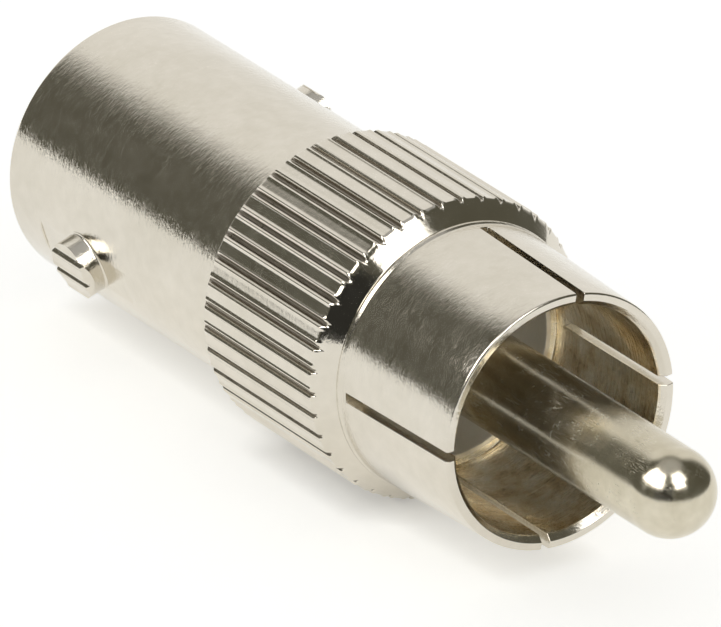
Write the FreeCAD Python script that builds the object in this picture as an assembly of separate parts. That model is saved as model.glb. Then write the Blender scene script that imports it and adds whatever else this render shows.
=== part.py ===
import FreeCAD, Part
import math
import os

# Straight coaxial adapter: a bayonet jack (two lugs on a plain barrel) at one end,
# a phono plug (round pin inside a slotted collar) at the other.
# Row frame: the adapter lies as it comes to rest on its knurled collar, its turning axis
# along +X with the phono pin towards +X; +Z up; origin under the middle of its box.
# All lengths are millimetres. "s" is the distance along the axis from the bayonet mouth.

V = FreeCAD.Vector

# ---- driving dimensions -------------------------------------------------------------
# overall
LENGTH = 34.40          # bayonet mouth to tip of the phono pin
# bayonet barrel
BARREL_R = 4.825        # outside of the barrel (9.65 diameter)
MOUTH_CHAMFER = 0.14    # outer edge of the mouth
BORE_R = 4.06           # bore that takes the plug's outer contact (8.12 diameter)
BORE_LEAD = 0.25        # bevel at the mouth of the bore
BORE_DEPTH = 8.4
# bayonet lugs
LUG_S = 4.55            # lug centre from the mouth
LUG_PHASE = 69.76       # lug direction, degrees from +Z towards +Y; the other is opposite
LUG_R = 1.09            # round lug
LUG_FILLET = 0.07       # at its root
LUG_EDGE_H = 5.47       # start of its broken end edge, from the axis
LUG_TIP_R = 1.03
LUG_RAMP = ((0.75, 5.53), (1.09, 5.25))   # wide bevel on the side away from the mouth: (along the axis, height)
MILL_R = 2.67           # ring left by the hollow mill round each lug
MILL_FLOOR = 4.775      # height of the milled flat from the axis
# knurled collar (straight knurl, rolled: a low raised lip on each side of every groove)
KNURL_N = 40
KNURL_S0 = 13.07        # rear face
KNURL_S1 = 20.25        # front face
LIP_R = 5.53            # highest part, and the bar the lugs were milled from
LAND_R = 5.485          # land between two lips
GROOVE_R = 5.36         # bottom of the groove
REAR_CHAMFER = 0.16
FRONT_S = 19.57         # where the wide front chamfer meets the lips
FRONT_R = 4.86          # its small end
# bores inside the knurled collar
SEAT_R = 3.00           # seat of the two insulators
SEAT_END = 16.50
SOCKET_R = 4.30         # seat of the phono collar
# phono collar (outer contact)
COLLAR_S1 = 26.49       # free end
COLLAR_BASE_R = 4.85
COLLAR_RIM_R = 4.665    # the leaves lean in a little
BEAD_R = 4.91           # thin bead where the collar leaves the body
COLLAR_BORE_BASE = 4.13
COLLAR_BORE_RIM = 4.16
RIM_FACE_R = 4.38       # inner edge of the flat end face
COLLAR_STEP_S = 20.32   # inner step: the bore narrows behind it
COLLAR_INNER_R = 3.72
COLLAR_LIP_R = 2.60     # rear lip that holds the insulator
COLLAR_LIP_S = 17.30
SLOT_W = 0.34
SLOT_S0 = 20.74         # closed end of the slots
SLOT_PHASES = (7.56, 83.26, 185.46, 267.26)   # the four saw cuts are not quite even
# centre contact
PIN_R = 1.60            # phono pin (3.2 diameter), hemispherical end
NECK_R = 1.40           # neck held by the phono insulator, behind the pin's shoulder
FLANGE_R = 1.80
FLANGE_S0 = 13.00
FLANGE_S1 = 14.50
SOCKET_CONTACT_R = 1.05 # bayonet socket contact (2.1 diameter)
SOCKET_S0 = 3.60
SOCKET_BORE_R = 0.68    # takes a 1.32 pin
SOCKET_BORE_DEPTH = 5.2
SOCKET_SLOT_W = 0.20
SOCKET_SLOT_LEN = 3.2
# insulators
BOSS_R = 2.375          # dielectric boss inside the bayonet mouth
BOSS_S0 = 3.40
NOSE_S1 = 18.00         # nose of the phono insulator

LIP_HALF = 2.65         # degrees from the land's middle to a lip's crest
LAND_HALF = 1.70        # and to the lip's foot
# height of the axis: it rests on the two lips of one land
AXIS_Z = LIP_R * math.cos(math.radians(LIP_HALF))
X0 = -LENGTH / 2.0


def at(s, r, phase):
    """point at axial distance s, radius r, direction phase (degrees from +Z towards +Y)"""
    a = math.radians(phase)
    return V(s, r * math.sin(a), r * math.cos(a))


def turned(points):
    """solid turned about the axis from a closed outline of (s, r) points"""
    pts = [V(s, 0, r) for s, r in points]
    wire = Part.makePolygon(pts + [pts[0]])
    return Part.Face(wire).revolve(V(0, 0, 0), V(1, 0, 0), 360)


def clean(shape):
    """the shape's solid alone, its split faces joined"""
    shape = shape.removeSplitter()
    solids = shape.Solids
    assert len(solids) == 1, len(solids)
    return solids[0]


def place(shape):
    shape = shape.copy()
    shape.translate(V(X0, 0, AXIS_Z))
    return shape


# ---- knurl section --------------------------------------------------------------------
def knurl_prism(s0, s1):
    pitch = 360.0 / KNURL_N
    pts = []
    for k in range(KNURL_N):
        land = k * pitch            # middle of a land; one land points straight down
        for off, r in ((-LIP_HALF - 0.85, LAND_R), (-LIP_HALF, LIP_R),
                       (-LAND_HALF, LAND_R), (LAND_HALF, LAND_R),
                       (LIP_HALF, LIP_R), (LIP_HALF + 0.85, LAND_R),
                       (pitch / 2 - 0.50, GROOVE_R), (pitch / 2 + 0.50, GROOVE_R)):
            pts.append(at(s0, r, land + off))
    wire = Part.makePolygon(pts + [pts[0]])
    return Part.Face(wire).extrude(V(s1 - s0, 0, 0))


def radial_solid(outline, phase, s):
    """solid turned about a radial axis from (radius, height) points"""
    pts = [V(r, 0, h) for r, h in outline]
    wire = Part.makePolygon(pts + [pts[0]])
    solid = Part.Face(wire).revolve(V(0, 0, 0), V(0, 0, 1), 360)
    # +Z turned to the phase direction: rotation about X takes +Z towards +Y by -phase
    solid.rotate(V(0, 0, 0), V(1, 0, 0), -phase)
    solid.translate(V(s, 0, 0))
    return solid


# ---- body: barrel, lugs and knurled collar, one turned piece ----------------------------
BIG = LIP_R + 0.10
grow = BIG - LIP_R
slope = (LIP_R - FRONT_R) / (KNURL_S1 - FRONT_S)
body = turned([
    (0.0, BARREL_R - MOUTH_CHAMFER),
    (MOUTH_CHAMFER, BARREL_R),
    (KNURL_S0, BARREL_R),
    (KNURL_S0, LIP_R - REAR_CHAMFER),
    (KNURL_S0 + REAR_CHAMFER + grow, BIG),
    (FRONT_S - grow / slope, BIG),
    (KNURL_S1, FRONT_R),
    (KNURL_S1, SOCKET_R),
    (SEAT_END, SOCKET_R),
    (SEAT_END, SEAT_R),
    (BORE_DEPTH, SEAT_R),
    (BORE_DEPTH, BORE_R),
    (BORE_LEAD, BORE_R),
    (0.0, BORE_R + BORE_LEAD),
])
for phase in (LUG_PHASE, LUG_PHASE + 180.0):
    body = body.cut(radial_solid([(0, MILL_FLOOR), (MILL_R, MILL_FLOOR), (MILL_R, 5.6), (0, 5.6)], phase, LUG_S))
for phase in (LUG_PHASE, LUG_PHASE + 180.0):
    body = body.fuse(radial_solid([
        (0, 4.40), (LUG_R + LUG_FILLET, 4.40), (LUG_R + LUG_FILLET, MILL_FLOOR + 0.005),
        (LUG_R + 0.02, MILL_FLOOR + 0.025), (LUG_R, MILL_FLOOR + LUG_FILLET), (LUG_R, LUG_EDGE_H),
        (LUG_TIP_R, LIP_R), (LUG_TIP_R, BIG), (0, BIG)], phase, LUG_S))
(u0, h0), (u1, h1) = LUG_RAMP
fall = (h1 - h0) / (u1 - u0)
for phase in (LUG_PHASE, LUG_PHASE + 180.0):
    corners = [(u0 - 0.15, h0 - 0.15 * fall), (u1 + 0.15, h1 + 0.15 * fall), (u1 + 0.15, 5.9), (u0 - 0.15, 5.9)]
    pts = [V(u, -1.3, h) for u, h in corners]
    ramp = Part.Face(Part.makePolygon(pts + [pts[0]])).extrude(V(0, 2.6, 0))
    ramp.rotate(V(0, 0, 0), V(1, 0, 0), -phase)
    ramp.translate(V(LUG_S, 0, 0))
    body = body.cut(ramp)
body = clean(body.common(knurl_prism(-1.0, 21.0)))

# ---- phono collar: a slotted sleeve pressed into the front of the body -------------------
collar = turned([
    (SEAT_END, COLLAR_LIP_R),
    (SEAT_END, SOCKET_R),
    (KNURL_S1, SOCKET_R),
    (KNURL_S1, BEAD_R - 0.05),
    (KNURL_S1 + 0.05, BEAD_R),
    (KNURL_S1 + 0.14, BEAD_R),
    (KNURL_S1 + 0.22, COLLAR_BASE_R),
    (SLOT_S0 + 0.15, COLLAR_BASE_R),
    (COLLAR_S1 - 0.08, COLLAR_RIM_R),
    (COLLAR_S1 - 0.02, COLLAR_RIM_R - 0.02),
    (COLLAR_S1, COLLAR_RIM_R - 0.06),
    (COLLAR_S1, RIM_FACE_R),
    (COLLAR_S1 - 0.24, COLLAR_BORE_RIM),
    (COLLAR_STEP_S, COLLAR_BORE_BASE),
    (COLLAR_STEP_S, COLLAR_INNER_R + 0.05),
    (COLLAR_STEP_S - 0.05, COLLAR_INNER_R),
    (COLLAR_LIP_S, COLLAR_INNER_R),
    (COLLAR_LIP_S, COLLAR_LIP_R),
])
for phase in SLOT_PHASES:
    cut = Part.makeBox(COLLAR_S1 - SLOT_S0 + 1.0, SLOT_W, 1.6, V(SLOT_S0, -SLOT_W / 2, 3.80))
    cut.rotate(V(0, 0, 0), V(1, 0, 0), -phase)
    collar = collar.cut(cut)
collar = clean(collar)

# ---- centre contact: phono pin and bayonet socket in one turned piece --------------------
tip_s = LENGTH - PIN_R
outline = [
    V(SOCKET_S0, 0, 0), V(SOCKET_S0, 0, SOCKET_CONTACT_R - 0.12), V(SOCKET_S0 + 0.12, 0, SOCKET_CONTACT_R),
    V(FLANGE_S0, 0, SOCKET_CONTACT_R), V(FLANGE_S0, 0, FLANGE_R),
    V(FLANGE_S1, 0, FLANGE_R), V(FLANGE_S1, 0, NECK_R), V(NOSE_S1, 0, NECK_R),
    V(NOSE_S1, 0, PIN_R), V(tip_s, 0, PIN_R),
]
edges = [Part.LineSegment(a, b).toShape() for a, b in zip(outline, outline[1:])]
half = PIN_R * math.sqrt(0.5)
edges.append(Part.Arc(V(tip_s, 0, PIN_R), V(tip_s + half, 0, half), V(LENGTH, 0, 0)).toShape())
edges.append(Part.LineSegment(V(LENGTH, 0, 0), V(SOCKET_S0, 0, 0)).toShape())
contact = Part.Face(Part.Wire(edges)).revolve(V(0, 0, 0), V(1, 0, 0), 360)
contact = contact.cut(turned([
    (SOCKET_S0 - 0.5, 0), (SOCKET_S0 - 0.5, SOCKET_BORE_R), (SOCKET_S0 + SOCKET_BORE_DEPTH, SOCKET_BORE_R),
    (SOCKET_S0 + SOCKET_BORE_DEPTH + 0.35, 0)]))
for phase in (45.0, 135.0):
    cut = Part.makeBox(SOCKET_SLOT_LEN + 0.5, SOCKET_SLOT_W, 3.0, V(SOCKET_S0 - 0.5, -SOCKET_SLOT_W / 2, -1.5))
    cut.rotate(V(0, 0, 0), V(1, 0, 0), -phase)
    contact = contact.cut(cut)
contact = clean(contact)

# ---- insulators ---------------------------------------------------------------------------
bnc_insulator = clean(turned([
    (BOSS_S0, SOCKET_CONTACT_R), (BOSS_S0, BOSS_R - 0.10), (BOSS_S0 + 0.10, BOSS_R),
    (BORE_DEPTH, BOSS_R), (BORE_DEPTH, SEAT_R), (FLANGE_S1, SEAT_R),
    (FLANGE_S1, FLANGE_R), (FLANGE_S0, FLANGE_R), (FLANGE_S0, SOCKET_CONTACT_R)]))
phono_insulator = clean(turned([
    (FLANGE_S1, NECK_R), (FLANGE_S1, SEAT_R), (SEAT_END, SEAT_R), (SEAT_END, COLLAR_LIP_R),
    (NOSE_S1, COLLAR_LIP_R), (NOSE_S1, NECK_R)]))

# ---- write ----------------------------------------------------------------------------------
nodes = {
    "jack_body": body,
    "plug_collar": collar,
    "centre_contact": contact,
    "jack_insulator": bnc_insulator,
    "plug_insulator": phono_insulator,
}
os.makedirs("parts", exist_ok=True)
lo = [1e9] * 3
hi = [-1e9] * 3
for name, shape in nodes.items():
    shape = place(shape)
    assert shape.isValid() and len(shape.Solids) == 1, name
    b = shape.optimalBoundingBox(False)
    lo = [min(a, c) for a, c in zip(lo, (b.XMin, b.YMin, b.ZMin))]
    hi = [max(a, c) for a, c in zip(hi, (b.XMax, b.YMax, b.ZMax))]
    g = shape.CenterOfMass
    print(name, "faces", len(shape.Faces), "volume %.2f" % shape.Volume, "centre (%.2f, %.2f, %.2f)" % (g.x, g.y, g.z))
    shape.exportStep("parts/" + name + ".step")
print("box", [round(v, 3) for v in lo], [round(v, 3) for v in hi])
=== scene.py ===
import math

import bmesh
import bpy
import numpy as np
from mathutils import Matrix, Vector


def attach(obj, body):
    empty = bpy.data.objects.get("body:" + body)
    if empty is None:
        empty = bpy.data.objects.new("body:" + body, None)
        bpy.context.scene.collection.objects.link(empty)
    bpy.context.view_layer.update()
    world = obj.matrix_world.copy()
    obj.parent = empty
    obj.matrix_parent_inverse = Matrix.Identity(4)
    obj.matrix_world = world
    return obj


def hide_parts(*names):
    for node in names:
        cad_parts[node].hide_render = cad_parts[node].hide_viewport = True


# Straight coaxial adapter, lying on its knurled collar. Lengths below are millimetres along
# the turning axis from the bayonet mouth (s), from the axis (r), and degrees from +Z towards
# +Y (phase); xyz() turns them into the row frame in metres.

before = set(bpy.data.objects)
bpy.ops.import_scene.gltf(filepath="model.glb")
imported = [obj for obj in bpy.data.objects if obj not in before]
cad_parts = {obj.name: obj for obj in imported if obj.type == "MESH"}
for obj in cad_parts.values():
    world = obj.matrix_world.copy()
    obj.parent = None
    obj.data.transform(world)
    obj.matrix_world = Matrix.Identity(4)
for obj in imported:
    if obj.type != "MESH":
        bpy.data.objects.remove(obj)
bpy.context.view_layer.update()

MM = 0.001
LENGTH = 34.40
X0 = -LENGTH / 2
PITCH = 9.0
AXIS_Z = 5.53 * math.cos(math.radians(2.65))
LUG_S, LUG_PHASE, LUG_R = 4.55, 69.76, 1.09
MILL_R, MILL_FLOOR = 2.67, 4.775
BARREL_R = 4.825


# ---------------------------------------------------------------------------- mesh helpers
def xyz(s, r, phase):
    s, r, phase = np.broadcast_arrays(np.asarray(s, float), np.asarray(r, float), np.asarray(phase, float))
    a = np.radians(phase)
    return np.stack([s + X0, r * np.sin(a), r * np.cos(a) + AXIS_Z], -1) * MM


def rounded(points, closed=True):
    """Outline from (s, r, corner radius, segments) points, its corners rounded."""
    out, n = [], len(points)
    for i, (s, r, rad, seg) in enumerate(points):
        if rad <= 0 or (not closed and i in (0, n - 1)):
            out.append((s, r))
            continue
        p = np.array([s, r], float)
        a = np.array(points[i - 1][:2], float) - p
        b = np.array(points[(i + 1) % n][:2], float) - p
        la, lb = np.linalg.norm(a), np.linalg.norm(b)
        a, b = a / la, b / lb
        ang = math.acos(max(-1.0, min(1.0, float(a @ b))))
        d = min(rad / math.tan(ang / 2), 0.49 * la, 0.49 * lb)
        rad = d * math.tan(ang / 2)
        c = p + (a + b) / np.linalg.norm(a + b) * rad / math.sin(ang / 2)
        v0, v1 = p + a * d - c, p + b * d - c
        t0, t1 = math.atan2(v0[1], v0[0]), math.atan2(v1[1], v1[0])
        dt = (t1 - t0 + math.pi) % (2 * math.pi) - math.pi
        for k in range(seg + 1):
            t = t0 + dt * k / seg
            out.append((float(c[0] + rad * math.cos(t)), float(c[1] + rad * math.sin(t))))
    return out


def make(name, verts, faces, sharp=32.0, bevel=None, weighted=True, cut=None):
    me = bpy.data.meshes.new(name)
    me.from_pydata([tuple(v) for v in verts], [], faces)
    bm = bmesh.new()
    bm.from_mesh(me)
    if cut:
        every = bm.verts[:] + bm.edges[:] + bm.faces[:]
        found = bmesh.ops.bisect_plane(bm, geom=every, dist=1e-8, plane_co=cut[0], plane_no=cut[1], clear_outer=True)
        rim = [e for e in found["geom_cut"] if isinstance(e, bmesh.types.BMEdge)]
        bmesh.ops.edgenet_fill(bm, edges=rim)
    bmesh.ops.recalc_face_normals(bm, faces=bm.faces)
    bm.to_mesh(me)
    bm.free()
    me.update()
    me.shade_smooth()
    me.set_sharp_from_angle(angle=math.radians(sharp))
    ob = bpy.data.objects.new(name, me)
    bpy.context.scene.collection.objects.link(ob)
    if bevel:
        mod = ob.modifiers.new("edge", "BEVEL")
        mod.width = bevel[0] * MM
        mod.segments = bevel[1]
        mod.limit_method = "ANGLE"
        mod.angle_limit = math.radians(bevel[2])
        mod.use_clamp_overlap = True
    if weighted:
        mod = ob.modifiers.new("normals", "WEIGHTED_NORMAL")
        mod.keep_sharp = True
        mod.weight = 50
    return ob


def grid(name, P, closed=True, poles=False, **kw):
    """Mesh from rows x columns of points; columns wrap round. closed joins the last row to the
    first; poles makes the first and last row one point each."""
    rows, cols = P.shape[:2]
    verts, ids = [], np.zeros((rows, cols), int)
    for i in range(rows):
        if poles and i in (0, rows - 1):
            ids[i, :] = len(verts)
            verts.append(P[i, 0])
        else:
            ids[i] = np.arange(len(verts), len(verts) + cols)
            verts.extend(P[i])
    faces = []
    for i in range(rows if closed else rows - 1):
        k = (i + 1) % rows
        a, b = ids[i], ids[k]
        a2, b2 = np.roll(a, -1), np.roll(b, -1)
        if poles and i == 0:
            faces.extend(zip(a.tolist(), b.tolist(), b2.tolist()))
        elif poles and k == rows - 1:
            faces.extend(zip(a.tolist(), a2.tolist(), b.tolist()))
        else:
            faces.extend(zip(a.tolist(), a2.tolist(), b2.tolist(), b.tolist()))
    return make(name, verts, faces, **kw)


def turned(name, outline, cols=160, poles=False, **kw):
    pts = np.array(outline, float)
    ph = np.arange(cols) * 360.0 / cols
    P = xyz(pts[:, :1], pts[:, 1:], ph[None, :])
    return grid(name, P, closed=not poles, poles=poles, **kw)


def slotted(name, loop, a, b, phases, width, per_sector, per_slot, axis_ends=False, **kw):
    """A sleeve with saw cuts. loop is its closed outline; the cuts remove the part of it from
    point a (outer side) to point b (inner side), which both lie at the cuts' closed end.
    With axis_ends the outline's first and last points lie on the axis."""
    n = len(loop)
    s = np.array([p[0] for p in loop])
    r = np.array([p[1] for p in loop])
    half = np.zeros(n)
    ok = r > width
    half[ok] = np.degrees(np.arcsin(width / 2 / r[ok]))
    half[~ok] = half[a]
    inside = np.zeros(n, bool)
    inside[a + 1:b] = True
    verts, columns = [], []     # each column: list of vertex ids (or -1), and its kind
    pole = {}
    phases = sorted(phases)
    m = len(phases)

    def add(phi, skip):
        ids = []
        P = xyz(s, r, phi)
        for i in range(n):
            if skip and inside[i]:
                ids.append(-1)
            elif axis_ends and i in (0, n - 1):
                if i not in pole:
                    pole[i] = len(verts)
                    verts.append(P[i])
                ids.append(pole[i])
            else:
                ids.append(len(verts))
                verts.append(P[i])
        return ids

    for k in range(m):
        p0, p1 = phases[k], phases[(k + 1) % m] + (360.0 if k == m - 1 else 0.0)
        lo, hi = p0 + half, p1 - half
        for j in range(per_sector + 1):
            kind = "first" if j == 0 else "last" if j == per_sector else "mid"
            columns.append((add(lo + (hi - lo) * j / per_sector, False), kind))
        q = p1 - half
        for j in range(1, per_slot):
            columns.append((add(q + 2 * half * j / per_slot, True), "slot"))
    faces = []

    def quad(c, d, i, k):
        ids = [c[i], d[i], d[k], c[k]]
        ids = [v for x, v in enumerate(ids) if v not in ids[:x]]
        if len(ids) > 2:
            faces.append(tuple(ids))

    edges = [(i, (i + 1) % n) for i in range(n - 1 if axis_ends else n)]
    for c in range(len(columns)):
        (u, ku), (v, kv) = columns[c], columns[(c + 1) % len(columns)]
        in_slot = ku in ("last", "slot")
        for i, k in edges:
            if in_slot and (a <= i < b):
                continue
            quad(u, v, i, k)
        if in_slot:
            quad(u, v, a, b)
        if ku in ("first", "last"):
            faces.append(tuple(u[a:b + 1]))
    return make(name, verts, faces, **kw)


# ------------------------------------------------------------------------------- the barrel
def barrel():
    cols = 480
    ph = LUG_PHASE + np.arange(cols) * 360.0 / cols
    outer_s = [0.30, 0.6, 1.0, 1.35, 1.6, 1.72, 1.80, 1.845, 1.872, 1.888, 1.915, 1.96, 2.08, 2.3,
               2.8, 3.6, 4.55, 5.5, 6.3, 6.8, 7.02, 7.14, 7.185, 7.212, 7.228, 7.255, 7.30, 7.38,
               7.5, 7.8, 8.5, 9.5, 10.5, 11.5, 12.3, 12.9, 13.2]
    head = rounded([(0.25, 4.06, 0, 0), (0.0, 4.31, 0.03, 3), (0.0, 4.685, 0.05, 4),
                    (0.14, BARREL_R, 0.16, 5), (2.0, BARREL_R, 0, 0)], closed=False)[1:-1]
    tail = rounded([(13.2, BARREL_R, 0, 0), (13.50, BARREL_R, 0.04, 2), (13.50, 3.0, 0.04, 2), (8.4, 3.0, 0.04, 2),
                    (8.4, 4.06, 0.05, 3), (0.25, 4.06, 0.05, 3), (0.0, 4.31, 0, 0)], closed=False)[1:-1]
    rows = [(s, r, False) for s, r in head] + [(s, BARREL_R, True) for s in outer_s] + [(s, r, False) for s, r in tail]
    S = np.zeros((len(rows), cols))
    R = np.zeros_like(S)
    for i, (s, r, milled) in enumerate(rows):
        S[i], R[i] = s, r
        if not milled:
            continue
        for lug in (LUG_PHASE, LUG_PHASE + 180.0):
            d = (ph - lug + 180.0) % 360.0 - 180.0
            t = BARREL_R * np.sin(np.radians(d))
            near = np.abs(d) < 60
            # rows near the mill's ring follow its curve
            bend = MILL_R - np.sqrt(np.maximum(MILL_R ** 2 - np.minimum(np.abs(t), 0.95) ** 2, 0))
            fade = np.clip((1.9 - np.abs(t)) / 0.9, 0, 1)
            fade = fade * fade * (3 - 2 * fade)
            w1 = math.exp(-((s - (LUG_S - MILL_R)) / 0.45) ** 2)
            w2 = math.exp(-((s - (LUG_S + MILL_R)) / 0.45) ** 2)
            S[i] += np.where(near, bend * fade * (w1 - w2), 0)
            if LUG_S - MILL_R < s < LUG_S + MILL_R:
                flat = MILL_FLOOR / np.cos(np.radians(np.clip(d, -30, 30)))
                R[i] = np.where(np.abs(d) < 9.0, np.minimum(R[i], flat), R[i])
    return grid("barrel", xyz(S, R, ph[None, :]), sharp=26)


# ------------------------------------------------------------------------- the knurled grip
# half a pitch, degrees from a land's middle: flat land, low round lip, narrow steep groove
HALF = [0.0, 0.8, 1.3, 1.6, 1.85, 2.1, 2.35, 2.52, 2.65, 2.78, 2.95, 3.15, 3.35, 3.50, 3.60, 3.68, 3.80, 3.94, 4.08, 4.2, 4.35, 4.5]
HALF_R = [5.484, 5.484, 5.4845, 5.4870, 5.4935, 5.505, 5.5190, 5.5275, 5.530, 5.5280, 5.520, 5.508, 5.495, 5.484, 5.470, 5.448,
          5.418, 5.398, 5.386, 5.381, 5.3785, 5.378]


def knurl_r(offset):
    """Height of the knurled bar's surface at an angle from a land's middle."""
    d = np.abs((np.asarray(offset, float) + PITCH / 2) % PITCH - PITCH / 2)
    return np.interp(d, HALF, HALF_R)


def grip():
    rng = np.random.default_rng(7)
    offs = [-h for h in HALF[:0:-1]] + HALF[:-1]
    ph, R = [], []
    depth = rng.uniform(-0.02, 0.02, 40)
    shift = rng.uniform(-0.12, 0.12, 40)
    for k in range(40):
        mid = k * PITCH
        for o in offs:
            r = float(knurl_r(o))
            g = min(1.0, max(0.0, (abs(o) - 2.95) / 0.8))
            e = k if o > 0 else k - 1         # the groove that this side of the land belongs to
            ph.append(mid + o + shift[e] * g)
            R.append(r + depth[e] * g)
    ph, R = np.array(ph), np.array(R)
    cols = len(ph)
    cone = 0.67 / 0.68                        # front chamfer, radius per length
    s_edge = 19.57 + (5.53 - R) / cone
    r_face = np.minimum(R - 0.006, 5.375)
    s_rear = 13.07 + (R - r_face)
    rows = []
    def row(s, r):
        rows.append((np.broadcast_to(s, cols), np.broadcast_to(r, cols)))
    row(13.07, 4.70)
    row(13.07, 5.00)
    row(13.07, r_face - 0.035)
    row(13.07, r_face - 0.012)
    row(13.07 + 0.004, r_face)
    row(13.07 + (s_rear - 13.07) * 0.5, r_face + (R - r_face) * 0.5)
    row(s_rear - 0.004, R - 0.004)
    row(s_rear + 0.014, R)
    for f in (0.02, 0.1, 0.22, 0.34, 0.46, 0.58, 0.70, 0.82, 0.92, 0.98):
        row(s_rear + (s_edge - s_rear) * f, R)
    row(s_edge - 0.050, R - 0.0008)
    row(s_edge - 0.026, R - 0.0045)
    row(s_edge - 0.004, R - 0.0130)
    row(s_edge + 0.016, R - 0.0260)
    row(s_edge + 0.034, R - 0.0395)
    span = 20.235 - (s_edge + 0.05)
    for f in (0.0, 0.2, 0.45, 0.7, 0.95):
        s = s_edge + 0.05 + span * f
        row(s, R - (s - s_edge) * cone)
    row(20.243, 4.862)
    row(20.25, 4.845)
    row(20.25, 4.60)
    row(20.25, 4.31)
    row(20.24, 4.30)
    row(18.0, 4.30)
    row(16.50, 4.30)
    row(16.50, 3.02)
    row(13.42, 3.02)
    row(13.42, 4.70)
    S = np.stack([a for a, _ in rows])
    RR = np.stack([b for _, b in rows])
    return grid("grip", xyz(S, RR, ph[None, :]), sharp=38)


# ---------------------------------------------------------------------------------- a lug
def lug(name, phase):
    cols = 176
    th = np.radians(np.arange(cols) * 360.0 / cols)
    rho = list(np.linspace(0, 1.0, 34)[1:]) + [1.015, 1.026, 1.037, 1.05, 1.064, 1.075, 1.083, 1.088, LUG_R]
    edge_h = 5.47

    def bar(t):
        """Height of the knurled bar's surface over the lug's own axis plane, t to its side."""
        h = np.full_like(t, 5.5)
        for _ in range(3):
            h = np.sqrt(np.maximum(knurl_r(np.degrees(np.arctan2(t, h)) + phase) ** 2 - t * t, 0))
        return h

    U, T, H = [], [], []
    def add(rr, h):
        U.append(rr * np.cos(th))
        T.append(rr * np.sin(th))
        H.append(np.broadcast_to(h, cols).copy())
    add(np.zeros(cols), bar(np.zeros(cols)))
    for q in rho:
        t = q * np.sin(th)
        h = bar(t)
        if q > 1.02:
            h = np.minimum(h, edge_h + math.sqrt(max(0.0, 0.07 ** 2 - (q - 1.02) ** 2)) - 0.012)
        add(np.full(cols, q), h)
    for h in (5.32, 5.25, 5.15, 5.05, 4.95):
        add(np.full(cols, LUG_R), h)
    foot_t = LUG_R * np.sin(th)
    foot = np.minimum(MILL_FLOOR, np.sqrt(BARREL_R ** 2 - foot_t ** 2))
    for d, out in ((0.070, 0.0), (0.045, 0.004), (0.025, 0.015), (0.010, 0.033), (0.002, 0.060), (-0.004, 0.075), (-0.06, 0.075)):
        add(np.full(cols, LUG_R + out), foot + d)
    add(np.zeros(cols), np.full(cols, 4.60))
    U, T, H = np.array(U), np.array(T), np.array(H)
    phi = phase + np.degrees(np.arctan2(T, H))
    P = xyz(LUG_S + U, np.hypot(T, H), phi)
    # the wide bevel on the side away from the mouth
    ramp = ((0.75, 5.53), (1.09, 5.25))
    a = math.radians(phase)
    up = Vector((0.0, math.sin(a), math.cos(a)))
    normal = (Vector((1.0, 0.0, 0.0)) * (ramp[0][1] - ramp[1][1]) + up * (ramp[1][0] - ramp[0][0])).normalized()
    point = (Vector((LUG_S + ramp[0][0] + X0, 0.0, AXIS_Z)) + up * ramp[0][1]) * MM
    return grid(name, P, closed=False, poles=True, sharp=38, cut=(point, normal))


# ------------------------------------------------------------------------- slotted collar
SLOTS = (7.56, 83.26, 185.46, 267.26)


def phono_collar():
    s_slot = 20.74
    outer = rounded([
        (16.50, 4.30, 0, 0), (20.20, 4.30, 0, 0), (20.20, 4.86, 0.0, 0), (20.30, 4.91, 0.03, 3), (20.39, 4.91, 0.03, 3),
        (20.47, 4.852, 0.03, 3), (20.62, 4.850, 0, 0), (s_slot, 4.850, 0, 0)], closed=False)
    a = len(outer) - 1
    leaf = rounded([
        (s_slot, 4.850, 0, 0), (20.90, 4.850, 0.6, 4), (23.0, 4.777, 0, 0), (25.0, 4.711, 0, 0), (26.49, 4.662, 0.09, 6),
        (26.49, 4.38, 0.035, 4), (26.25, 4.16, 0.08, 4), (25.0, 4.154, 0, 0), (23.0, 4.143, 0, 0), (s_slot, 4.132, 0, 0)], closed=False)
    inner = rounded([
        (s_slot, 4.132, 0, 0), (20.45, 4.130, 0, 0), (20.32, 4.13, 0.03, 3), (20.32, 3.75, 0.03, 3), (20.27, 3.72, 0.03, 3),
        (19.0, 3.72, 0, 0), (17.30, 3.72, 0.05, 3), (17.30, 2.62, 0.03, 2), (16.50, 2.62, 0, 0), (16.50, 4.30, 0, 0)], closed=False)[:-1]
    loop = outer + leaf[1:] + inner[1:]
    b = a + len(leaf) - 1
    return slotted("phono_collar", loop, a, b, SLOTS, 0.34, 88, 6, sharp=32, bevel=(0.016, 2, 55))


# --------------------------------------------------------------------------- centre contact
def phono_pin():
    arc = [(32.80 + 1.60 * math.sin(t), 1.60 * math.cos(t)) for t in np.radians(np.linspace(0, 90, 34))]
    arc[-1] = (34.40, 0.0)
    start = rounded([
        (13.10, 0.0, 0, 0), (13.10, 1.78, 0.04, 2), (14.50, 1.78, 0.04, 2), (14.50, 1.40, 0.04, 2), (18.00, 1.40, 0.03, 2),
        (18.00, 1.60, 0.04, 3), (20.0, 1.60, 0, 0), (23.0, 1.60, 0, 0), (26.0, 1.60, 0, 0), (29.0, 1.60, 0, 0),
        (31.5, 1.60, 0, 0), (32.8, 1.60, 0, 0)], closed=False)
    return turned("phono_pin", start[:-1] + arc, cols=192, poles=True, sharp=40)


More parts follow.
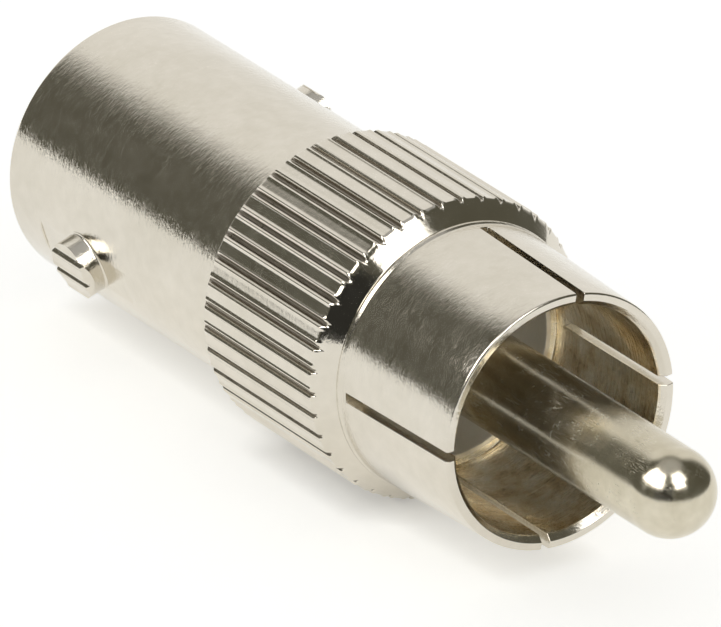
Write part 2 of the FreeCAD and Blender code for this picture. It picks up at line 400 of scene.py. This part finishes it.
def bnc_socket():
    s_slot = 6.8
    loop_a = [(13.12, 0.0), (13.12, 0.6), (13.12, 1.05), (11.0, 1.05), (9.0, 1.05), (s_slot, 1.05)]
    a = len(loop_a) - 1
    leaf = rounded([(s_slot, 1.05, 0, 0), (5.2, 1.05, 0, 0), (3.72, 1.05, 0.06, 3), (3.60, 0.93, 0.03, 2), (3.60, 0.74, 0.02, 2),
                    (3.70, 0.68, 0.04, 2), (5.2, 0.68, 0, 0), (s_slot, 0.68, 0, 0)], closed=False)
    end = [(s_slot, 0.68), (8.8, 0.68), (9.0, 0.35), (9.15, 0.0)]
    loop = loop_a + leaf[1:] + end[1:]
    b = a + len(leaf) - 1
    return slotted("bnc_socket", loop, a, b, (45, 135, 225, 315), 0.20, 22, 4, axis_ends=True, sharp=34, bevel=(0.012, 2, 60))


# -------------------------------------------------------------------------------- insulators
def bnc_dielectric():
    return turned("bnc_dielectric", rounded([
        (3.40, 1.05, 0.03, 2), (3.40, 2.375, 0.10, 4), (8.42, 2.375, 0.04, 2), (8.42, 3.0, 0.04, 2), (14.46, 3.0, 0, 0),
        (14.46, 1.86, 0, 0), (13.0, 1.86, 0, 0), (13.0, 1.05, 0, 0)]), cols=144, sharp=36)


def phono_dielectric():
    return turned("phono_dielectric", rounded([
        (14.52, 1.42, 0, 0), (14.52, 2.98, 0, 0), (16.48, 2.98, 0, 0), (16.48, 2.60, 0, 0), (18.00, 2.60, 0.08, 4),
        (18.00, 2.20, 0.02, 2), (17.94, 2.16, 0.02, 2), (17.94, 1.85, 0.02, 2), (18.00, 1.80, 0.02, 2), (18.00, 1.42, 0, 0)]), cols=144, sharp=36)


# ---------------------------------------------------------------------------------- materials
class Nodes:
    """A short way to write node trees."""

    def __init__(self, tree):
        self.t = tree
        tree.nodes.clear()

    def n(self, kind, inputs=None, **props):
        node = self.t.nodes.new(kind)
        for k, v in props.items():
            setattr(node, k, v)
        for k, v in (inputs or {}).items():
            if isinstance(v, bpy.types.NodeSocket):
                self.t.links.new(v, node.inputs[k])
            else:
                node.inputs[k].default_value = v
        return node

    def math(self, op, a, b=0.0, c=None, clamp=False):
        node = self.n("ShaderNodeMath", operation=op, use_clamp=clamp)
        for i, v in enumerate((a, b) if c is None else (a, b, c)):
            if isinstance(v, bpy.types.NodeSocket):
                self.t.links.new(v, node.inputs[i])
            else:
                node.inputs[i].default_value = v
        return node.outputs[0]

    def noise(self, vec, scale, detail=2.0, rough=0.5, dist=0.0):
        return self.n("ShaderNodeTexNoise", {"Vector": vec, "Scale": scale, "Detail": detail, "Roughness": rough, "Distortion": dist}).outputs["Fac"]

    def ramp(self, fac, stops, interp="LINEAR"):
        node = self.n("ShaderNodeValToRGB", {"Fac": fac})
        cr = node.color_ramp
        cr.interpolation = interp
        while len(cr.elements) < len(stops):
            cr.elements.new(0.5)
        for e, (p, c) in zip(cr.elements, stops):
            e.position = p
            e.color = (*c, 1.0) if len(c) == 3 else c
        return node.outputs["Color"]

    def map(self, v, a, b, c, d, smooth=False):
        node = self.n("ShaderNodeMapRange", {"Value": v, "From Min": a, "From Max": b, "To Min": c, "To Max": d})
        if smooth:
            node.interpolation_type = "SMOOTHSTEP"
        return node.outputs["Result"]


def material(name):
    m = bpy.data.materials.new(name)
    m.use_nodes = True
    return m, Nodes(m.node_tree)


def nickel(name, low, high, rough=(0.10, 0.17), peel=1.0, grain=1.0, marks=0.0, marks_scale=24.0, scratches=0.0, knurled=False, inside=None, tip=None):
    """Bright nickel plate: a slightly warm mirror with a fine orange-peel surface, uneven
    polish, faint turning marks round the axis and short scratches."""
    m, g = material(name)
    co = g.n("ShaderNodeTexCoord").outputs["Object"]
    mm = g.n("ShaderNodeMapping", {"Vector": co, "Location": (0.0, 0.0, -AXIS_Z), "Scale": (1000, 1000, 1000)}).outputs[0]
    big = g.noise(mm, 0.35, 3.0, 0.55)
    mid = g.noise(mm, 1.9, 3.0, 0.5)
    fine = g.noise(mm, 9.0, 3.0, 0.6)
    tone = g.math("ADD", g.math("MULTIPLY", big, 0.6), g.math("MULTIPLY", mid, 0.4))
    color = g.ramp(g.map(tone, 0.36, 0.64, 0.0, 1.0), [(0.0, low), (1.0, high)])
    rgh = g.map(g.math("ADD", g.math("MULTIPLY", mid, 0.5), g.math("MULTIPLY", fine, 0.5)), 0.35, 0.65, rough[0], rough[1])
    # orange peel
    height = g.math("ADD", g.math("MULTIPLY", g.noise(mm, 1.15, 2.0, 0.45), 1.0), g.math("MULTIPLY", g.noise(mm, 3.6, 2.0, 0.5), 0.22))
    height = g.math("MULTIPLY", height, peel * 0.006)
    part = g.n("ShaderNodeSeparateXYZ", {0: mm})
    rad = g.math("SQRT", g.math("ADD", g.math("POWER", part.outputs[1], 2.0), g.math("POWER", part.outputs[2], 2.0)))
    if knurled:
        past = g.math("MULTIPLY", g.math("SUBTRACT", part.outputs[0], 19.57 + X0), 0.985)
        under = g.math("SUBTRACT", g.math("SUBTRACT", 5.53, rad), g.math("MAXIMUM", past, 0.0))
        # painted shade and dirt: 1 down in the knurl's grooves, 0 on the lands
        groove_shade_and_dirt = g.map(under, 0.055, 0.10, 0.0, 1.0, smooth=True)
        cone = g.map(g.math("SUBTRACT", past, g.math("SUBTRACT", 5.53, rad)), -0.06, -0.02, 0.0, 1.0, smooth=True)
    # fine grain of the polish, short streaks round the axis
    streak = g.n("ShaderNodeMapping", {"Vector": mm, "Scale": (8.5, 3.0, 3.0)}).outputs[0]
    grains = g.math("SUBTRACT", g.noise(streak, 1.0, 3.0, 0.62), 0.5)
    if knurled:
        grains = g.math("MULTIPLY", grains, g.math("SUBTRACT", 1.0, g.math("MULTIPLY", cone, 0.7)))
    height = g.math("ADD", height, g.math("MULTIPLY", grains, 0.0030 * grain))
    pit = g.n("ShaderNodeMapping", {"Vector": mm, "Scale": (13.0, 7.0, 7.0), "Location": (3.1, 0.7, 1.9)}).outputs[0]
    pits = g.math("SUBTRACT", g.noise(pit, 1.0, 2.0, 0.55), 0.5)
    height = g.math("ADD", height, g.math("MULTIPLY", pits, 0.0012 * grain))
    rgh = g.math("ADD", rgh, g.math("MULTIPLY", grains, 0.08 * grain))
    if marks:
        turn = g.n("ShaderNodeMapping", {"Vector": mm, "Scale": (marks_scale, 0.22, 0.22)}).outputs[0]
        lines = g.noise(turn, 1.0, 4.0, 0.65)
        height = g.math("ADD", height, g.math("MULTIPLY", lines, 0.0016 * marks))
        rgh = g.math("ADD", rgh, g.math("MULTIPLY", g.math("SUBTRACT", lines, 0.5), 0.12 * marks))
    if scratches:
        turn = g.n("ShaderNodeMapping", {"Vector": mm, "Rotation": (0.2, 0.35, 0.5), "Scale": (0.9, 9.0, 9.0)}).outputs[0]
        warp = g.noise(turn, 1.0, 1.0, 0.5, 0.6)
        cut = g.map(g.math("ABSOLUTE", g.math("SUBTRACT", warp, 0.5)), 0.0, 0.012, 1.0, 0.0)
        gate = g.map(g.noise(mm, 0.8, 2.0), 0.52, 0.62, 0.0, 1.0)
        cut = g.math("MULTIPLY", cut, gate)
        height = g.math("SUBTRACT", height, g.math("MULTIPLY", cut, 0.0010 * scratches))
        rgh = g.math("ADD", rgh, g.math("MULTIPLY", cut, 0.16 * scratches))
    if inside:
        # rougher, yellower turned wall inside, with brush marks round the axis
        inner = g.map(rad, inside - 0.06, inside, 1.0, 0.0)
        brush = g.noise(g.n("ShaderNodeMapping", {"Vector": mm, "Scale": (16.0, 0.5, 0.5)}).outputs[0], 1.0, 3.0, 0.6)
        patch = g.map(g.math("ADD", g.math("MULTIPLY", g.noise(mm, 0.9, 4.0, 0.65), 0.7), g.math("MULTIPLY", brush, 0.3)), 0.38, 0.64, 0.0, 1.0)
        tintc = g.ramp(patch, [(0.0, (0.86, 0.82, 0.72)), (0.45, (0.78, 0.70, 0.54)), (0.75, (0.66, 0.54, 0.36)), (1.0, (0.42, 0.34, 0.23))])
        mixc = g.n("ShaderNodeMix", {0: inner}, data_type="RGBA")
        g.t.links.new(color, mixc.inputs[6])
        g.t.links.new(tintc, mixc.inputs[7])
        color = mixc.outputs[2]
        rgh = g.math("ADD", rgh, g.math("MULTIPLY", inner, g.map(brush, 0.3, 0.7, 0.03, 0.17)))
        height = g.math("ADD", height, g.math("MULTIPLY", g.math("MULTIPLY", brush, inner), 0.006))
        # painted light: the narrow bore behind the step is painted a pale colour, as if lit through the opening, and is
        # made duller
        bore_painted_light = g.math("MULTIPLY", g.map(rad, 3.86, 3.94, 1.0, 0.0), g.map(part.outputs[0], 20.30 + X0, 20.34 + X0, 1.0, 0.0))
        mixd = g.n("ShaderNodeMix", {0: bore_painted_light}, data_type="RGBA")
        g.t.links.new(color, mixd.inputs[6])
        mixd.inputs[7].default_value = (0.97, 0.95, 0.90, 1.0)
        color = mixd.outputs[2]
        rgh = g.math("ADD", rgh, g.math("MULTIPLY", bore_painted_light, 0.42))
    if tip:
        rgh = g.math("SUBTRACT", rgh, g.math("MULTIPLY", g.map(part.outputs[0], tip + X0 - 0.5, tip + X0 + 0.1, 0.0, 1.0), 0.07))
    micro = g.math("MULTIPLY", g.noise(mm, 40.0, 2.0, 0.6), 0.00006)
    height = g.math("ADD", height, micro)
    bump = g.n("ShaderNodeBump", {"Height": height, "Strength": 1.0, "Distance": MM}).outputs[0]
    if knurled:
        # painted shade and dirt down in the grooves: a darker, browner, duller plate there; a smoother turned cone in
        # front
        color2 = g.n("ShaderNodeMix", {0: g.math("MULTIPLY", groove_shade_and_dirt, 0.8)}, data_type="RGBA")
        g.t.links.new(color, color2.inputs[6])
        color2.inputs[7].default_value = (0.20, 0.17, 0.13, 1.0)
        color = color2.outputs[2]
        rgh = g.math("ADD", rgh, g.math("MULTIPLY", groove_shade_and_dirt, 0.14))
        rgh = g.math("SUBTRACT", rgh, g.math("MULTIPLY", cone, 0.085))
    sh = g.n("ShaderNodeBsdfPrincipled", {"Base Color": color, "Metallic": 1.0, "Roughness": rgh, "Normal": bump})
    g.n("ShaderNodeOutputMaterial", {"Surface": sh.outputs[0]})
    return m


def plastic(name):
    m, g = material(name)
    co = g.n("ShaderNodeTexCoord").outputs["Object"]
    mm = g.n("ShaderNodeMapping", {"Vector": co, "Scale": (1000, 1000, 1000)}).outputs[0]
    tone = g.noise(mm, 0.9, 4.0, 0.6)
    turn = g.n("ShaderNodeMapping", {"Vector": mm, "Location": (0.0, 0.0, 0.0), "Scale": (7.0, 0.5, 0.5)}).outputs[0]
    lines = g.noise(turn, 1.0, 3.0, 0.6)
    color = g.ramp(g.map(tone, 0.35, 0.65, 0.0, 1.0), [(0.0, (0.74, 0.72, 0.67)), (1.0, (0.86, 0.85, 0.81))])
    rgh = g.map(tone, 0.3, 0.7, 0.36, 0.5)
    h = g.math("ADD", g.math("MULTIPLY", tone, 0.004), g.math("MULTIPLY", lines, 0.003))
    bump = g.n("ShaderNodeBump", {"Height": h, "Strength": 1.0, "Distance": MM}).outputs[0]
    sh = g.n("ShaderNodeBsdfPrincipled", {"Base Color": color, "Roughness": rgh, "Normal": bump, "Subsurface Weight": 0.25,
                                          "Subsurface Radius": (0.0006, 0.0005, 0.0004), "Subsurface Scale": 1.0, "IOR": 1.38})
    g.n("ShaderNodeOutputMaterial", {"Surface": sh.outputs[0]})
    return m


LOW, HIGH = (0.650, 0.608, 0.522), (0.715, 0.672, 0.590)
body_mat = nickel("nickel_body_look", LOW, HIGH, rough=(0.11, 0.18), peel=1.0, grain=3.5, marks=0.25)
grip_mat = nickel("nickel_grip_look", LOW, HIGH, rough=(0.13, 0.20), peel=0.5, grain=1.6, knurled=True)
collar_mat = nickel("nickel_collar_look", LOW, HIGH, rough=(0.13, 0.19), peel=0.9, grain=2.7, marks=0.5, inside=4.24)
pin_mat = nickel("nickel_contact_look", (0.56, 0.51, 0.39), (0.68, 0.63, 0.51), rough=(0.20, 0.28), peel=0.9, grain=0.7, marks=0.4, scratches=2.0, tip=32.7)
white_mat = plastic("white_plastic_look")

# ---------------------------------------------------------------------------------- pieces
pieces = [
    (barrel(), "jack_body", "nickel_body", body_mat),
    (grip(), "jack_body", "nickel_body", grip_mat),
    (lug("lug_upper", LUG_PHASE), "jack_body", "nickel_body", body_mat),
    (lug("lug_lower", LUG_PHASE + 180.0), "jack_body", "nickel_body", body_mat),
    (phono_collar(), "plug_collar", "nickel_collar", collar_mat),
    (phono_pin(), "centre_contact", "nickel_contact", pin_mat),
    (bnc_socket(), "centre_contact", "nickel_contact", pin_mat),
    (bnc_dielectric(), "jack_insulator", "white_plastic", white_mat),
    (phono_dielectric(), "plug_insulator", "white_plastic", white_mat),
]
for ob, node, slot, mat in pieces:
    ob.data.materials.append(mat)
    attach(ob, "root")
    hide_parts(node)

# the CAD nodes keep matching materials
for node, mat in (("jack_body", body_mat), ("plug_collar", collar_mat), ("centre_contact", pin_mat),
                  ("jack_insulator", white_mat), ("plug_insulator", white_mat)):
    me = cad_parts[node].data
    me.materials.clear()
    me.materials.append(mat)

# ----------------------------------------------------------------------------------- floor
bm = bmesh.new()
ring0 = [bm.verts.new((0.0, 0.0, 0.0))]
for k, rad in enumerate((0.05, 0.15, 0.5, 1.5, 6.0)):
    ring = [bm.verts.new((rad * math.cos(t), rad * math.sin(t), 0.0)) for t in np.arange(96) * 2 * math.pi / 96]
    for i in range(96):
        j = (i + 1) % 96
        if k == 0:
            bm.faces.new((ring0[0], ring[i], ring[j]))
        else:
            bm.faces.new((ring0[i], ring[i], ring[j], ring0[j]))
    ring0 = ring
me = bpy.data.meshes.new("floor")
bm.to_mesh(me)
bm.free()
floor = bpy.data.objects.new("floor", me)
bpy.context.scene.collection.objects.link(floor)
m, g = material("pale_floor")
co = g.n("ShaderNodeTexCoord").outputs["Object"]
grain = g.noise(g.n("ShaderNodeMapping", {"Vector": co, "Scale": (60, 60, 60)}).outputs[0], 1.0, 4.0, 0.6)
col = g.ramp(g.map(grain, 0.3, 0.7, 0.0, 1.0), [(0.0, (0.79, 0.79, 0.77)), (1.0, (0.81, 0.81, 0.79))])
# painted contact shadow: the floor's bright glow falls off close under the object, by ambient occlusion
near = g.n("ShaderNodeAmbientOcclusion", {"Distance": 0.0013}, samples=3).outputs["AO"]
glow_with_painted_shadow = g.math("MULTIPLY", g.math("ADD", g.math("MULTIPLY", near, 0.60), 0.40), 0.585)
sh = g.n("ShaderNodeBsdfPrincipled", {"Base Color": col, "Roughness": 0.9, "Specular IOR Level": 0.0,
                                      "Emission Color": (1.0, 1.0, 0.985, 1.0), "Emission Strength": glow_with_painted_shadow})
g.n("ShaderNodeOutputMaterial", {"Surface": sh.outputs[0]})
me.materials.append(m)

# ----------------------------------------------------------- camera, at the photo's viewpoint
TURN = math.radians(2.24)      # the photo's object is turned this much about its axis from how it lies


def to_row(v):
    x, y, z = v
    return Vector((x, y * math.cos(TURN) - z * math.sin(TURN), y * math.sin(TURN) + z * math.cos(TURN)))


cam_data = bpy.data.cameras.new("camera")
cam_data.sensor_fit = "HORIZONTAL"
cam_data.sensor_width = 36.0
cam_data.lens = 853.9
cam_data.clip_start = 0.05
cam_data.clip_end = 50.0
cam = bpy.data.objects.new("camera", cam_data)
right = to_row((0.56595, 0.82444, 0.0)).normalized()
up = (-to_row((0.35948, -0.24677, -0.8999))).normalized()
back = (-to_row((-0.74194, 0.50931, -0.4360))).normalized()
up = back.cross(right).normalized()
right = up.cross(back).normalized()
place = Matrix((right, up, back)).transposed().to_4x4()
at = to_row((447.7, -297.4, 253.9)) + Vector((0.12 + X0, 0.0, AXIS_Z))
place.translation = at * MM
cam.matrix_world = place
bpy.context.scene.collection.objects.link(cam)
bpy.context.scene.camera = cam

# ------------------------------------------------------------------------- soft studio light
world = bpy.data.worlds.new("studio")
bpy.context.scene.world = world
world.use_nodes = True
g = Nodes(world.node_tree)
gen = g.n("ShaderNodeTexCoord").outputs["Generated"]
d = g.n("ShaderNodeMapping", {"Vector": gen, "Rotation": (-TURN, 0.0, 0.0)}).outputs[0]
sep = g.n("ShaderNodeSeparateXYZ", {0: d})
dx, dy, dz = sep.outputs[0], sep.outputs[1], sep.outputs[2]
el = g.math("MULTIPLY", g.math("ARCSINE", g.math("MINIMUM", g.math("MAXIMUM", dz, -1.0), 1.0)), 57.29578)
az = g.math("MULTIPLY", g.math("ARCTAN2", dy, dx), 57.29578)


def band(v, a0, a1, b0, b1):
    """1 between a1 and b0, fading to 0 at a0 and b1."""
    up = g.map(v, a0, a1, 0.0, 1.0, smooth=True)
    down = g.map(v, b0, b1, 1.0, 0.0, smooth=True)
    return g.math("MULTIPLY", up, down)


def wrap(centre):
    """azimuth from a centre, -180 to 180"""
    return g.math("SUBTRACT", g.math("FLOORED_MODULO", g.math("ADD", az, 180.0 - centre), 360.0), 180.0)


def layer(base, mask, colour, strength):
    mix = g.n("ShaderNodeMix", {0: mask}, data_type="RGBA")
    g.t.links.new(base, mix.inputs[6])
    mix.inputs[7].default_value = (colour[0] * strength, colour[1] * strength, colour[2] * strength, 1.0)
    return mix.outputs[2]


base = g.n("ShaderNodeRGB").outputs[0]
base.default_value = (0.124, 0.121, 0.098, 1.0)
sky = base
# grey overhead
sky = layer(sky, band(el, 58, 72, 95, 99), (1.0, 1.0, 1.0), 0.52)
# bright backdrop behind the object, fading out towards its left
w = wrap(146)
sky = layer(sky, g.math("MULTIPLY", band(w, -54, -34, 31, 58), band(el, -4, -1, 50, 68)), (1.0, 0.99, 0.965), 0.98)
# warm grey corner, and a black one
sky = layer(sky, g.math("MULTIPLY", band(wrap(60), -30, -20, 24, 32), band(el, 12, 20, 58, 66)), (1.0, 0.96, 0.74), 0.115)
sky = layer(sky, g.math("MULTIPLY", band(wrap(-46), -34, -22, 14, 22), band(el, -1, 2, 36, 43)), (1.0, 1.0, 0.9), 0.035)
# two soft lights
sky = layer(sky, g.math("MULTIPLY", band(wrap(-91), -37, -33, 33, 37), band(el, 28, 32, 63, 67)), (1.0, 0.99, 0.97), 5.0)
sky = layer(sky, g.math("MULTIPLY", band(wrap(0), -27, -23, 14, 32), band(el, 41, 45, 64, 70)), (1.0, 0.99, 0.97), 4.0)
sky = layer(sky, g.math("MULTIPLY", band(wrap(-4), -18, -14, 14, 18), band(el, 28, 32, 43, 46)), (1.0, 0.99, 0.97), 4.0)
bg = g.n("ShaderNodeBackground", {"Color": sky, "Strength": 1.0})
path = g.n("ShaderNodeLightPath")
# the floor and other matt surfaces are lit by an even soft dome; the metal mirrors the studio
dome = g.n("ShaderNodeBackground", {"Color": (1.0, 1.0, 1.0, 1.0), "Strength": 0.565})
plain = g.n("ShaderNodeBackground", {"Color": (1.0, 1.0, 1.0, 1.0), "Strength": 1.0})
mix = g.n("ShaderNodeMixShader", {0: path.outputs["Is Glossy Ray"]})
g.t.links.new(dome.outputs[0], mix.inputs[1])
g.t.links.new(bg.outputs[0], mix.inputs[2])
mix2 = g.n("ShaderNodeMixShader", {0: path.outputs["Is Camera Ray"]})
g.t.links.new(mix.outputs[0], mix2.inputs[1])
g.t.links.new(plain.outputs[0], mix2.inputs[2])
g.n("ShaderNodeOutputWorld", {"Surface": mix2.outputs[0]})
world.cycles.sampling_method = "NONE"

scene = bpy.context.scene
scene.view_settings.view_transform = "Standard"
scene.view_settings.look = "None"
scene.view_settings.exposure = 0.0
scene.view_settings.gamma = 1.0
